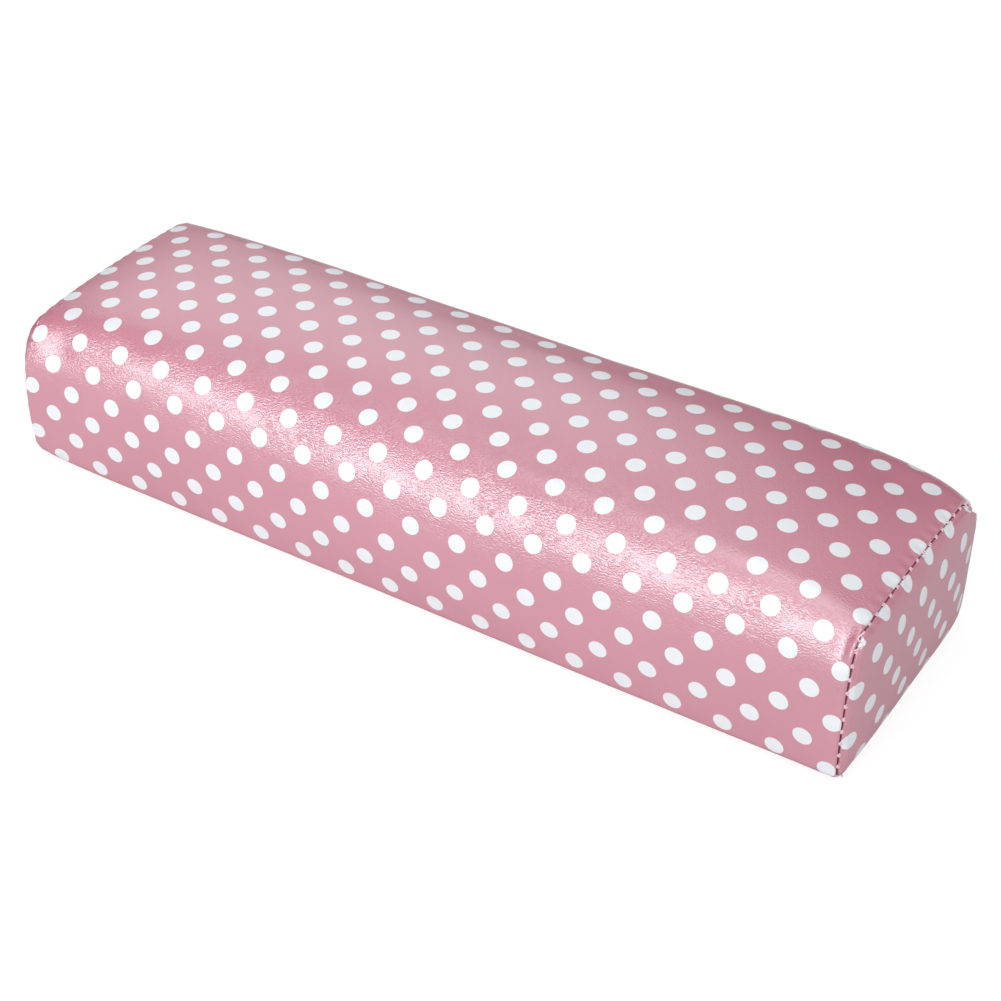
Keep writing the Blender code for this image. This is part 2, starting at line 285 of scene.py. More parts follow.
def base_edge(x, inset):
    """The sheet's edge at the base seam, from its turned-up tip to the underside."""
    standing = base_standing(x)
    turns = np.radians(np.linspace(180.0, 270.0, BASE_FOLD_STEPS + 1))
    centre_y, centre_z = HALF_GAP + FOLD_RADIUS, inset + FOLD_RADIUS
    fold = FOLD_RADIUS * np.stack([np.cos(turns), np.sin(turns)], axis=1) + (centre_y, centre_z)
    tip = [[fold[0, 0], centre_z + BASE_ALLOWANCE]]
    folded = np.concatenate([tip, fold])
    flat = np.stack([HALF_GAP + EDGE_STEP * np.arange(EDGE_ROWS), np.full(EDGE_ROWS, inset)], axis=1)
    return flat + (folded - flat) * standing


def around(x, inset, start=None, half_rows=HALF_ROWS):
    """All points of one column, front half then back half: (y, z), the share of the seam, the cloth."""
    share = 0.5 * np.linspace(BASE_SHARE, 1.0, half_rows + 1)
    if start is None:
        start = np.array([[0.0, inset], [BASE_START / 2, inset]])
        start_share = np.array([0.0, share[0] / 2])
    else:
        start_share = np.zeros(len(start))
    share = np.concatenate([start_share, share])
    halves = [even_steps(half_outline(x, inset, back), half_rows) for back in (False, True)]
    front, rear = [np.concatenate([start, half]) for half in halves]
    front_cloth, rear_cloth = [travelled(half)[-1] - travelled(half) for half in (front, rear)]
    points = np.concatenate([front * np.array([-1.0, 1.0]), rear[-2::-1]])
    shares = np.concatenate([share, 1.0 - share[-2::-1]])
    lengths = np.concatenate([-front_cloth, rear_cloth[-2::-1]])
    return points, shares, lengths


def inward(points):
    """The direction into the block at each point of a column."""
    along = np.gradient(points, axis=0)
    along /= np.maximum(np.hypot(*along.T), 1e-9)[:, None]
    return np.stack([along[:, 1], -along[:, 0]], axis=1)


sample, _, _ = around(0.0, 0.0, base_edge(0.0, 0.0))
print(len(sample), "rows; the crest is at", sample[len(sample) // 2].round(4))

# %% [markdown]
# ## Dents and slow waves
# A cover is never as even as its pattern. Slow waves of a sixth of a millimetre break up the long
# reflection. At the top corners the cloth of the long side is gathered into the tighter corner of the
# end, which leaves a shallow dent beside the seam.

# %% Dents and waves
WAVE_HEIGHT = 0.00016
WAVE_LENGTH = 0.030
END_FADE = 0.02
TABLE_CLOTH, TABLE_FADE = 0.098, 0.01  # the cloth that rests on the table stays flat
CORNER_DENTS = (  # x, distance of cloth from the crest, length, width, depth
    (0.1446, -0.0450, 0.0060, 0.0055, 0.0016),
    (0.1430, 0.0440, 0.0050, 0.0060, 0.0006),
    (-0.1330, -0.0470, 0.0060, 0.0050, 0.0009),
    (-0.1330, 0.0475, 0.0060, 0.0050, 0.0009),
)


def sunk(x, cloth):
    """How far the surface lies below its plain shape."""
    depth = np.zeros_like(cloth)
    for dent_x, dent_cloth, length, width, deep in CORNER_DENTS:
        depth += deep * np.exp(-((x - dent_x) / length) ** 2 - ((cloth - dent_cloth) / width) ** 2)
    waves = [noise.noise(Vector((x / WAVE_LENGTH, c / WAVE_LENGTH, 3.0))) for c in cloth]
    from_end = np.clip((HALF_LENGTH - abs(x)) / END_FADE, 0.0, 1.0)
    from_table = np.clip((TABLE_CLOTH - np.abs(cloth)) / TABLE_FADE, 0.0, 1.0)
    return depth + WAVE_HEIGHT * from_end * from_table * np.array(waves)


# %% [markdown]
# ## Rings and closed shapes
# Closed pieces are grown ring by ring: a circle is made with one point for each place on the ring, its
# edge is extruded, and each new ring is laid where it belongs. Two numbers kept on every point say
# which ring it is on and where on that ring. A solid piece gets a face over its first and last ring.

# %% Growing a shape from rings
def closed_ring(x, inset):
    """A closed outline: (y, z), the share of the way round, and the direction inwards."""
    points, shares, _ = around(x, inset)
    into = inward(np.concatenate([points[-2:-1], points, points[1:2]]))[1:-1]
    return points[:-1], shares[:-1], into[:-1]


def of_kind(items, kind):
    return [item for item in items if isinstance(item, kind)]


def extruded(work, edges):
    """The points and the edges of a new ring, grown from these edges."""
    grown = bmesh.ops.extrude_edge_only(work, edges=edges)["geom"]
    return of_kind(grown, bmesh.types.BMVert), of_kind(grown, bmesh.types.BMEdge)


def grow_rings(work, rings):
    """Extrudes a circle ring by ring; returns the last ring's edges. Points keep their turn and ring."""
    turn = work.verts.layers.int.new("turn")
    level = work.verts.layers.int.new("ring")
    made = bmesh.ops.create_circle(work, segments=len(rings[0]), radius=1.0, cap_ends=False)
    for i, vert in enumerate(made["verts"]):
        vert[turn] = i
    edges = list(work.edges)
    verts = made["verts"]
    for number, ring in enumerate(rings):
        if number:
            verts, edges = extruded(work, edges)
        for vert in verts:
            vert[level] = number
            vert.co = ring[vert[turn]]
    return edges, turn, level


def grow_solid(rings):
    """A closed shape through these rings."""
    work = bmesh.new()
    edges, _, level = grow_rings(work, rings)
    first = [edge for edge in work.edges if all(vert[level] == 0 for vert in edge.verts)]
    for ring in (first, edges):
        bmesh.ops.contextual_create(work, geom=ring)
    bmesh.ops.recalc_face_normals(work, faces=work.faces)
    return work


# %% [markdown]
# ## Letting the sponge swell the cover
# Sponge pushes a cover out wherever no seam and no table holds it. Blender's Cloth works this out well
# on even faces of a few millimetres. So a coarse, closed copy of the cover is remeshed, held along its
# end seams and under its base, and blown up a little with gravity off. Remeshing would lose the measure
# of the cloth and every narrow seam, so only the way it swelled is kept: each fine piece takes the
# movement of the coarse points around it, scaled so that no point moves further than the cap.

# %% Blow up a coarse cover
COARSE_RINGS = 41
VOXEL = 0.0045
PRESSURE = 4.0
LAST_FRAME = 20
SWELL_CAP = 0.0017
HELD_REACH = 0.006
BLUR_REACH = 0.005
BLUR_POINTS = 14


def coarse_cover():
    """A closed, evenly remeshed copy of the cover without its seams."""
    rings = [[(x, y, z) for y, z in closed_ring(x, 0.0)[0]]
             for x in np.linspace(-HALF_LENGTH, HALF_LENGTH, COARSE_RINGS)]
    work = grow_solid(rings)
    mesh = bpy.data.meshes.new("coarse_cover")
    work.to_mesh(mesh)
    work.free()
    shape = bpy.data.objects.new("coarse_cover", mesh)
    bpy.context.scene.collection.objects.link(shape)
    remesh = shape.modifiers.new("even", "REMESH")
    remesh.mode = "VOXEL"
    remesh.voxel_size = VOXEL
    even = bpy.data.meshes.new_from_object(shape.evaluated_get(bpy.context.evaluated_depsgraph_get()))
    shape.modifiers.clear()
    shape.data = even
    return shape


def points_of(mesh):
    return np.array([vert.co for vert in mesh.vertices])


def held_points(places):
    """The points within reach of an end seam or of the table."""
    along, across, up = np.abs(places[:, 0]), np.abs(places[:, 1]), places[:, 2]
    to_end = HALF_LENGTH - along
    to_side = across.max() - across
    to_top = up[to_end < HELD_REACH].max() - up
    near_end = (to_end < HELD_REACH) & (np.minimum(to_side, to_top) < HELD_REACH)
    return np.flatnonzero(near_end | (up < VOXEL / 2))


def blown_up():
    """The points of a coarse cover at rest, and how far the sponge moves each."""
    shape = coarse_cover()
    rest = points_of(shape.data)
    held = shape.vertex_groups.new(name="held")
    held.add([int(i) for i in held_points(rest)], 1.0, "REPLACE")
    cloth = shape.modifiers.new("cloth", "CLOTH")
    cloth.settings.vertex_group_mass = "held"
    cloth.settings.use_pressure = True
    cloth.settings.uniform_pressure_force = PRESSURE
    cloth.settings.effector_weights.gravity = 0.0
    for step in range(1, LAST_FRAME + 1):
        bpy.context.scene.frame_set(step)
    evaluated = shape.evaluated_get(bpy.context.evaluated_depsgraph_get())
    moved = points_of(evaluated.to_mesh()) - rest
    evaluated.to_mesh_clear()
    bpy.context.scene.frame_set(1)
    bpy.data.objects.remove(shape)
    furthest = np.linalg.norm(moved, axis=1).max()
    print(f"{len(rest)} coarse points swelled by {furthest * 1000:.1f} mm, {SWELL_CAP * 1000:.1f} kept")
    return rest, moved * min(SWELL_CAP / furthest, 1.0)


rest_places, movements = blown_up()
nearby = kdtree.KDTree(len(rest_places))
for index, place in enumerate(rest_places):
    nearby.insert(place, index)
nearby.balance()


def swelling(places):
    """How far the sponge moves each of these points, from the coarse points around it."""
    total = np.zeros((len(places), 3))
    for i, place in enumerate(places):
        found = nearby.find_n(place, BLUR_POINTS)
        weights = np.array([math.exp(-((distance / BLUR_REACH) ** 2)) for _, _, distance in found])
        total[i] = weights @ movements[[index for _, index, _ in found]] / weights.sum()
    return total


# %% [markdown]
# ## Coated fabric: the finish
# The cover is polyurethane on a knitted back: a rose layer, white dots printed on it, and a pearl
# lacquer embossed with a fine leather grain. The mica in such a lacquer reflects far more than plain
# varnish does, and a little cooler than the cloth, so the lacquer gets a high index of refraction and a
# tint on what it reflects. A metal finish would do for the shine, but it would darken the rose away
# from the lamps. Sums on values are written as plain Python, through a small class that adds a Math
# node for each sign.

# %% A socket that can be calculated with
class Socket:
    """One output of a shader node. Sums with it add Math nodes."""

    def __init__(self, tree, output):
        self.tree, self.output = tree, output

    def pick(self, name):
        return Socket(self.tree, self.output.node.outputs[name])

    def math(self, operation, first, second=0.0, clamp=False):
        settings = {"operation": operation, "use_clamp": clamp}
        return self.tree.node("ShaderNodeMath", settings, {0: first, 1: second})

    def __add__(self, other):
        return self.math("ADD", self, other)

    def __radd__(self, other):
        return self.math("ADD", other, self)

    def __sub__(self, other):
        return self.math("SUBTRACT", self, other)

    def __rsub__(self, other):
        return self.math("SUBTRACT", other, self)

    def __mul__(self, other):
        return self.math("MULTIPLY", self, other)

    def __rmul__(self, other):
        return self.math("MULTIPLY", other, self)

    def __truediv__(self, other):
        return self.math("DIVIDE", self, other)

    def __pow__(self, other):
        return self.math("POWER", self, other)

    def rounded(self):
        return self.math("ROUND", self)

    def clamped(self):
        return self.math("ADD", self, 0.0, clamp=True)


class Tree:
    """A node tree under construction."""

    def __init__(self, tree):
        self.nodes, self.links = tree.nodes, tree.links

    def node(self, kind, settings=None, inputs=None):
        node = self.nodes.new(kind)
        for key, value in (settings or {}).items():
            setattr(node, key, value)
        for key, value in (inputs or {}).items():
            self.put(node.inputs[key], value)
        return Socket(self, next(output for output in node.outputs if output.enabled))

    def put(self, socket, value):
        if isinstance(value, Socket):
            self.links.new(value.output, socket)
        else:
            socket.default_value = value

    def mix(self, factor, first, second):
        return self.node("ShaderNodeMix", {"data_type": "RGBA"}, {"Factor": factor, "A": first, "B": second})


class Finish(Tree):
    """A material and its Principled shader."""

    def __init__(self, name, **constants):
        self.material = bpy.data.materials.new(name)
        self.material.use_nodes = True
        super().__init__(self.material.node_tree)
        self.shader = self.nodes["Principled BSDF"]
        for key, value in constants.items():
            self.set(key.replace("_", " "), value)

    def set(self, name, value):
        self.put(self.shader.inputs[name], value)

    def bump(self, height):
        return self.node("ShaderNodeBump", {}, {"Height": height, "Distance": 1.0})


# %% [markdown]
# ### Dots and grain
# The dots stand in staggered rows. Two slanted counts, one rising and one falling, are whole numbers
# at every dot, so the nearest dot is found by rounding both. The cloth's own measure, in metres, is in
# the UV map, so the pattern follows the cloth over every bend. The grain is made of creases between
# small cells, drawn out along a slant as embossed rolls leave it, with some longer creases. It shows
# most where the cloth is bent over the front, and least on the dots, whose ink fills it.

# %% The dots
DOT_PITCH = 0.01637
ROW_PITCH = 0.00912
DOT_RADIUS = 0.00298
DOT_BLUR = 0.00012
CREST_ROW = -0.775  # rows from the crest to the nearest row of dots
MIDDLE_DOT = 13.387  # half pitches from the middle to a dot
ROSE = (0.63, 0.230, 0.305, 1.0)
ROSE_DEEP = (0.57, 0.195, 0.265, 1.0)
DOT_WHITE = (0.83, 0.84, 0.88, 1.0)


def dot_mask(u, v):
    along, across = u / DOT_PITCH, v / (2 * ROW_PITCH)
    rising, falling = along + across, along - across
    rising, falling = rising - rising.rounded(), falling - falling.rounded()
    off_u = (rising + falling) * (DOT_PITCH / 2)
    off_v = (rising - falling) * ROW_PITCH
    distance = (off_u * off_u + off_v * off_v) ** 0.5
    return ((DOT_RADIUS - distance) / DOT_BLUR + 0.5).clamped()


# %% The grain and the lacquer
LACQUER_IOR = 2.5
PEARL_TINT = (0.82, 1.0, 1.0, 1.0)
LACQUER_ROUGHNESS, PATCH_ROUGHNESS, INK_ROUGHNESS = 0.27, 0.06, 0.10
FINE_CREASES = (0.0008, 64, 2.6, 0.30)  # cell size, slant in degrees, stretch, width
CROSSING_CREASES = (0.0013, -32, 2.0, 0.22)
LONG_CREASES = (0.0060, 12, 3.4, 0.05)
POCK_SIZE, POCK_HEIGHT = 0.0005, 0.00007
FINE_DEPTH, FINE_LEAST = 0.00005, 0.000015
CROSSING_DEPTH, CROSSING_LEAST = 0.000015, 0.000008
LONG_DEPTH = 0.00005
WARP_SIZE, WARP = 0.006, 0.003
PATCH_SIZE, WEAR_SIZE = 0.016, 0.045
BEND_PLACE, BEND_REACH = 0.0385, 0.021  # on the cloth, from the crest to the middle of the front bend
FLAT_SHARE = 0.15  # how much of the creases is left away from the bend
INK_FILL = 0.6


def cloud(finish, place, size, detail=2.0):
    return finish.node("ShaderNodeTexNoise", {"noise_dimensions": "2D"},
                       {"Vector": place, "Scale": 1 / size, "Detail": detail})


def creases(finish, place, size, slant, stretch, width):
    """Creases between drawn-out cells: 1 in a crease, 0 away from it."""
    turned = finish.node("ShaderNodeMapping", {}, {
        "Vector": place,
        "Rotation": (0.0, 0.0, math.radians(slant)),
        "Scale": (1 / stretch, 1.0, 1.0),
    })
    edge = finish.node("ShaderNodeTexVoronoi", {"feature": "DISTANCE_TO_EDGE", "voronoi_dimensions": "2D"},
                       {"Vector": turned, "Scale": 1 / size})
    return (1 - edge / width).clamped()


def grain(finish, measure, v, dot, patches):
    """The height of the embossed grain, in metres."""
    drift = cloud(finish, measure, WARP_SIZE).pick("Color")
    warped = finish.node("ShaderNodeVectorMath", {"operation": "MULTIPLY_ADD"},
                         {0: drift, 1: (WARP, WARP, 0.0), 2: measure})
    fine, crossing, long_ones = [
        creases(finish, warped, *kind) for kind in (FINE_CREASES, CROSSING_CREASES, LONG_CREASES)]
    strong = ((patches - 0.28) * 3.0).clamped()
    off_bend = (v - BEND_PLACE) / BEND_REACH
    bent = (1 - off_bend * off_bend).clamped()
    height = (cloud(finish, measure, POCK_SIZE, 1.0) - 0.5) * POCK_HEIGHT
    height = height - fine * (strong * FINE_DEPTH + FINE_LEAST) * (bent * (1 - FLAT_SHARE) + FLAT_SHARE)
    height = height - crossing * (bent * CROSSING_DEPTH + CROSSING_LEAST)
    height = height - long_ones * bent * strong * LONG_DEPTH
    return height * (1 - dot * INK_FILL)


def leatherette(name):
    finish = Finish(name, IOR=LACQUER_IOR, Specular_Tint=PEARL_TINT)
    measure = finish.node("ShaderNodeUVMap", {"uv_map": "sheet"})
    split = finish.node("ShaderNodeSeparateXYZ", {}, {0: measure})
    u, v = split.pick("X"), split.pick("Y")
    dot = dot_mask(u, v)
    patches = cloud(finish, measure, PATCH_SIZE, 3.0)
    height = grain(finish, measure, v, dot, patches)
    rose = finish.mix(cloud(finish, measure, WEAR_SIZE), ROSE_DEEP, ROSE)
    finish.set("Base Color", finish.mix(dot, rose, DOT_WHITE))
    finish.set("Roughness", LACQUER_ROUGHNESS + patches * PATCH_ROUGHNESS + dot * INK_ROUGHNESS)
    finish.set("Normal", finish.bump(height))
    return finish.material


cover_finish = leatherette("rose_leatherette")
print("leatherette:", len(cover_finish.node_tree.nodes), "nodes")

# %% [markdown]
# ### Thread and sponge
# The thread is a matt twisted polyester in a paler rose, with painted shade in the hollows of its twist.
# The cover hides the sponge, but a part in a library can be taken apart, so it shows its open cells,
# with painted shade in its pores.

# %% Thread and sponge finishes
# the darker thread colour is painted shade for the hollows of the twist
THREAD_HOLLOW_SHADE, THREAD_PALE = (0.72, 0.42, 0.50, 1.0), (0.90, 0.72, 0.78, 1.0)
TWIST_SIZE, TWIST_HEIGHT = 1 / 5200, 0.00005
# the darker sponge colour is painted shade for the insides of the pores
SPONGE_PALE, SPONGE_PORE_SHADE = (0.84, 0.79, 0.62, 1.0), (0.52, 0.44, 0.28, 1.0)
PORE_SIZE, LARGE_PORE_SIZE, PORE_DEPTH = 1 / 900, 1 / 380, 0.0003


def thread_finish(name):
    finish = Finish(name, Roughness=0.75)
    place = finish.node("ShaderNodeTexCoord").pick("Object")
    twist_and_shade = finish.node("ShaderNodeTexNoise", {}, {"Vector": place, "Scale": 1 / TWIST_SIZE, "Detail": 2.0})
    # the hollows of the twist are painted darker, as painted shade; the same noise raises the strands with
    # the bump
    finish.set("Base Color", finish.mix(twist_and_shade, THREAD_HOLLOW_SHADE, THREAD_PALE))
    finish.set("Normal", finish.bump(twist_and_shade * TWIST_HEIGHT))
    return finish.material


def sponge_finish(name):
    finish = Finish(name, Roughness=0.95)
    place = finish.node("ShaderNodeTexCoord").pick("Object")
    pores = finish.node("ShaderNodeTexVoronoi", {}, {"Vector": place, "Scale": 1 / PORE_SIZE})
    large = finish.node("ShaderNodeTexVoronoi", {}, {"Vector": place, "Scale": 1 / LARGE_PORE_SIZE})
    # the pores are painted darker, as painted shade, and the same mask sinks them with the bump
    cells_and_shade = (1 - pores * 1.3).clamped() * 0.6 + (1 - large * 1.6).clamped() * 0.4
    finish.set("Base Color", finish.mix(cells_and_shade, SPONGE_PALE, SPONGE_PORE_SHADE))
    finish.set("Normal", finish.bump(cells_and_shade * -PORE_DEPTH))
    return finish.material


thread_material = thread_finish("rose_thread")
sponge_material = sponge_finish("open_cell_sponge")

# %% [markdown]
# ## Finishing a mesh
# Each piece goes through the same last steps. It is made smooth, with its object at the origin. Sheets
# get their thickness from a Solidify modifier that grows inwards, so the face that shows stays where it
# was laid. Then the piece is dressed: it goes under the root, and the solid that it stands for is hidden.

# %% Last steps of a piece
def finish_piece(name, work, material, places=None, measures=None, wall=None):
    """Turns the bmesh into an object, its points laid at places and its cloth measure as UV."""
    mesh = bpy.data.meshes.new(name)
    work.to_mesh(mesh)
    work.free()
    if places is not None:
        mesh.vertices.foreach_set("co", np.asarray(places, np.float32).ravel())
    if measures is not None:
        corners = np.zeros(len(mesh.loops), np.int32)
        mesh.loops.foreach_get("vertex_index", corners)
        layer = mesh.uv_layers.new(name="sheet")
        layer.data.foreach_set("uv", np.asarray(measures, np.float32)[corners].ravel())
    mesh.materials.append(material)
    mesh.shade_smooth()
    mesh.update()
    piece = bpy.data.objects.new(name, mesh)
    bpy.context.scene.collection.objects.link(piece)
    if wall:
        solid = piece.modifiers.new("wall", "SOLIDIFY")
        solid.thickness = wall
        solid.offset = -1.0
    print(name, len(mesh.vertices), "points,", len(mesh.polygons), "faces")
    return piece


def dress(piece, nodes):
    """Puts the piece under the root and hides the nodes that it stands for."""
    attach(piece, "root")
    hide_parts(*nodes)


# %% [markdown]
# ## The sleeve
# The sleeve is one sheet, so it starts as a flat grid with one column for each place along the length
# and one row for each place round the block. Cutting it flat first gives the true measure of the cloth
# at every point, which is what the print needs.

# %% The sleeve
DOT_SHEAR = 0.00012  # the print runs a little askew: shift along the length from one row to the next


def make_sleeve():
    shape = np.array([len(columns), len(sample)])
    work = bmesh.new()
    bmesh.ops.create_grid(work, x_segments=len(columns) - 1, y_segments=len(sample) - 1, size=0.5)
    flat = np.array([vert.co for vert in work.verts])[:, :2]
    column, row = np.rint((flat + 0.5) * (shape - 1)).astype(int).T
    laid, cloth = np.zeros((*shape, 3)), np.zeros((*shape, 2))
    seam_start = HALF_LENGTH - FOLD_REACH
    for i, (x, inset, length) in enumerate(columns):
        points, shares, lengths = around(x, inset, base_edge(x, inset))
        side = 1.0 if x > 0 else -1.0
        before = max(seam_start - abs(x), 0.0) if inset == 0.0 else 0.0
        deeper, apart = seam_marks(shares, side, before)
        if inset == 0.0:
            deeper = deeper + sunk(x, lengths) * (1 - near_seam(before))
        laid[i, :, 0] = x - side * apart
        laid[i, :, 1:] = points + inward(points) * deeper[:, None]
        if inset == 0.0:
            laid[i] += swelling(laid[i]) * (1 - near_seam(before))
        cloth[i, :, 1] = CREST_ROW * ROW_PITCH - lengths
        cloth[i, :, 0] = length + MIDDLE_DOT * DOT_PITCH / 2 + DOT_SHEAR * cloth[i, :, 1] / ROW_PITCH
    return finish_piece("cover_sleeve", work, cover_finish, laid[column, row], cloth[column, row],
                        wall=COVER_THICKNESS)


cover_sleeve = make_sleeve()
dress(cover_sleeve, ["sleeve"])

# %% [markdown]
# ## The end panels
# An end panel is a rounded rectangle of the same cloth. It is drawn from its turned-in edge: a ring of
# points is extruded ring by ring over the fold and onto the face, and the face is filled with a grid.
# The sponge swells it by three millimetres in the middle. Both are drawn facing right, with the sizes
# of their own ends, and the left one is then turned to face left.

# %% The end panels
PANEL_DOT_Y, PANEL_DOT_Z = -0.0343, 0.0428
PANEL_DOT_STRETCH = 1.084
FACE_RINGS = np.array([0.0006, 0.0014, 0.0024, 0.0036, 0.0050, 0.0066])
PANEL_WAVE = 0.00025
PANEL_FULLNESS = 0.0029
BULGE_POWER = 6.5
PANEL_WAVE_LENGTH = 0.02
CORNER_ROW = 65  # rows from the base's middle, and from the crest, to a corner of the filled grid
FACE_SAMPLE = 500  # faces of the filled grid that tell which way the panel looks


def panel_places():
    """Rings of the right panel from its turned-in tip to the face: (past, inset, cloth from the face)."""
    past, inset, cloth = turned_edge()[::-1].T
    rolled = np.stack([-inset, -past, cloth], axis=1)
    face = np.stack([np.zeros_like(FACE_RINGS), FOLD_REACH + FACE_RINGS, -FACE_RINGS], axis=1)
    return np.concatenate([rolled, face])


def panel_ring(past, inset, cloth, side):
    """One ring of a panel, facing right: its points and their places on the flat cloth."""
    points, shares, into = closed_ring(side * (HALF_LENGTH + past), inset)
    deeper, apart = seam_marks(shares, side, max(inset - FOLD_REACH, 0.0))
    laid = np.zeros((len(points), 3))
    laid[:, 0] = HALF_LENGTH + past - deeper
    laid[:, 1:] = points + into * apart[:, None]
    if cloth <= 0.0:
        return laid, points
    edge, _, edge_into = closed_ring(side * HALF_LENGTH, FOLD_REACH)
    return laid, edge - edge_into * cloth


def pushed_out(places, side):
    """How far the sponge pushes the face of a panel out at each (y, z)."""
    edge, _, _ = closed_ring(side * HALF_LENGTH, FOLD_REACH)
    half_width, half_height = np.ptp(edge, axis=0) / 2
    up = np.abs(places[:, 1] - edge[:, 1].min() - half_height) / half_height
    across = np.abs(places[:, 0]) / half_width
    full = (1 - across.clip(0, 1) ** BULGE_POWER) * (1 - up.clip(0, 1) ** BULGE_POWER)
    spots = places / PANEL_WAVE_LENGTH
    waves = [noise.noise(Vector((y, z, 8.0 * side))) for y, z in spots]
    return full * (PANEL_FULLNESS + PANEL_WAVE * np.array(waves))


# %% Closing the face, and both panels
def fill_ring(work, edges, turn):
    """Closes a ring with a grid, from its stretch along the base to the one along the top."""
    count = len(edges)
    base = [edge for edge in edges if all(min(v[turn], count - v[turn]) <= CORNER_ROW for v in edge.verts)]
    top = [edge for edge in edges if all(abs(v[turn] - count // 2) <= CORNER_ROW for v in edge.verts)]
    bmesh.ops.grid_fill(work, edges=base + top, use_smooth=True)


def make_panel(name, node, side):
    rings, cloths = zip(*[panel_ring(past, inset, cloth, side) for past, inset, cloth in panel_places()])
    work = bmesh.new()
    edges, turn, level = grow_rings(work, rings)
    ringed = len(work.verts)
    fill_ring(work, edges, turn)
    work.verts.ensure_lookup_table()
    places = np.array([vert.co for vert in work.verts])
    measures = places[:, 1:].copy()
    on_face = np.ones(len(places), bool)
    for i, vert in enumerate(list(work.verts)[:ringed]):
        measures[i] = cloths[vert[level]][vert[turn]]
        on_face[i] = vert[level] >= ALLOWANCE_STEPS + FOLD_STEPS
    places[on_face, 0] += pushed_out(places[on_face, 1:], side)
    places[ringed:, 0] = HALF_LENGTH + pushed_out(places[ringed:, 1:], side)
    places[:, 0] *= side
    places[on_face] += swelling(places[on_face])
    bmesh.ops.recalc_face_normals(work, faces=work.faces)
    facing = sum((face.normal * face.calc_area() for face in list(work.faces)[-FACE_SAMPLE:]), Vector())
    if (facing.x > 0) != (side > 0):
        bmesh.ops.reverse_faces(work, faces=work.faces)
    measures = (measures - np.array([PANEL_DOT_Y, PANEL_DOT_Z])) * np.array([PANEL_DOT_STRETCH, 1.0])
    piece = finish_piece(name, work, cover_finish, places, measures, wall=COVER_THICKNESS)
    dress(piece, [node])


make_panel("cover_end_right", "end_panel_right", 1)
make_panel("cover_end_left", "end_panel_left", -1)

# %% [markdown]
# ## Stitches
# The thread of an end seam is inside the cover, and shows only where it crosses from one fold to the
# other. So each stitch is a pair of short strands, arched over the crease, with their ends in the
# cloth. One stitch is modelled, and the operator that duplicates geometry makes the rest of the ring.
# The two front corners of the right end also have the loose end that is left where a seam is tied off.

# %% One stitch
THREAD_RADIUS = 0.00028
STRAND_APART = 0.00034
STRAND_LENGTH = 0.0017
STRAND_HEIGHT = 0.00062
STRAND_DROP = 0.0008
STRAND_SIDES, STRAND_CUTS = 8, 5
STRAND_ARCH = 2.5  # the higher, the flatter the middle of the arch


def strand(work):
    """Two strands side by side along X, arched towards Z, at the origin."""
    along_x = Matrix.Rotation(math.pi / 2, 4, "Y")
    half = STRAND_LENGTH / 2
    for place in (-STRAND_APART, STRAND_APART):
        bmesh.ops.create_cone(work, cap_ends=True, segments=STRAND_SIDES, radius1=THREAD_RADIUS,
                              radius2=THREAD_RADIUS, depth=STRAND_LENGTH,
                              matrix=Matrix.Translation((0.0, place, 0.0)) @ along_x)
    long_edges = [edge for edge in work.edges if abs(edge.verts[0].co.x - edge.verts[1].co.x) > half]
    bmesh.ops.subdivide_edges(work, edges=long_edges, cuts=STRAND_CUTS)
    for vert in work.verts:
        along = abs(vert.co.x) / half
        vert.co.z += STRAND_HEIGHT - STRAND_DROP * along**STRAND_ARCH
    return list(work.verts) + list(work.edges) + list(work.faces)


def frame_at(place, across, outward):
    """A matrix whose X is across the seam and whose Z is outwards."""
    along = outward.cross(across)
    return Matrix.Translation(place) @ Matrix((across, along, outward)).transposed().to_4x4()


# %% A loose end of thread
TAIL_RINGS, TAIL_SIDES = 18, 6
TAIL_HEIGHT, TAIL_SAG = 0.0009, 0.0003
TAIL_TURNS = 1.3


def thread_end(work, matrix, length, swing):
    """A loose end of thread, in an S along the seam, which runs along Y."""
    shares = np.linspace(0.0, 1.0, TAIL_RINGS)
    path = np.stack([swing * np.sin(shares * TAIL_TURNS * 2 * math.pi), (shares - 0.5) * length,
                     TAIL_HEIGHT - TAIL_SAG * np.sin(shares * math.pi)], axis=1)
    heading = np.gradient(path, axis=0)
    ring = bmesh.ops.create_circle(work, segments=TAIL_SIDES, radius=THREAD_RADIUS, cap_ends=True)["verts"]
    edges = list(ring[0].link_faces[0].edges)
    made = list(ring)
    for number, (place, ahead) in enumerate(zip(path, heading)):
        turn = Vector((0, 0, 1)).rotation_difference(Vector(ahead)).to_matrix().to_4x4()
        if number:
            ring, edges = extruded(work, edges)
            bmesh.ops.transform(work, matrix=previous.inverted(), verts=ring)
            made += ring
        previous = Matrix.Translation(place) @ turn
        bmesh.ops.transform(work, matrix=previous, verts=ring)
    bmesh.ops.contextual_create(work, geom=edges)
    bmesh.ops.transform(work, matrix=matrix, verts=made)


# %% Both end seams
SEAM_DRAW = {1: 11, -1: 12}  # seeds of the random lean of the stitches
LEAN, LEAN_SPREAD = 0.35, 0.18
TOP_TAIL, BASE_TAIL = (0.0050, 0.0008), (0.0032, 0.0006)  # length, swing


def make_stitches(name, node, matrices, ends=()):
    work = bmesh.new()
    template = strand(work)
    for matrix in matrices:
        copied = bmesh.ops.duplicate(work, geom=template)["geom"]
        bmesh.ops.transform(work, matrix=matrix, verts=of_kind(copied, bmesh.types.BMVert))
    bmesh.ops.delete(work, geom=of_kind(template, bmesh.types.BMVert))
    for matrix, length, swing in ends:
        thread_end(work, matrix, length, swing)
    bmesh.ops.recalc_face_normals(work, faces=work.faces)
    piece = finish_piece(name, work, thread_material)
    dress(piece, [node])


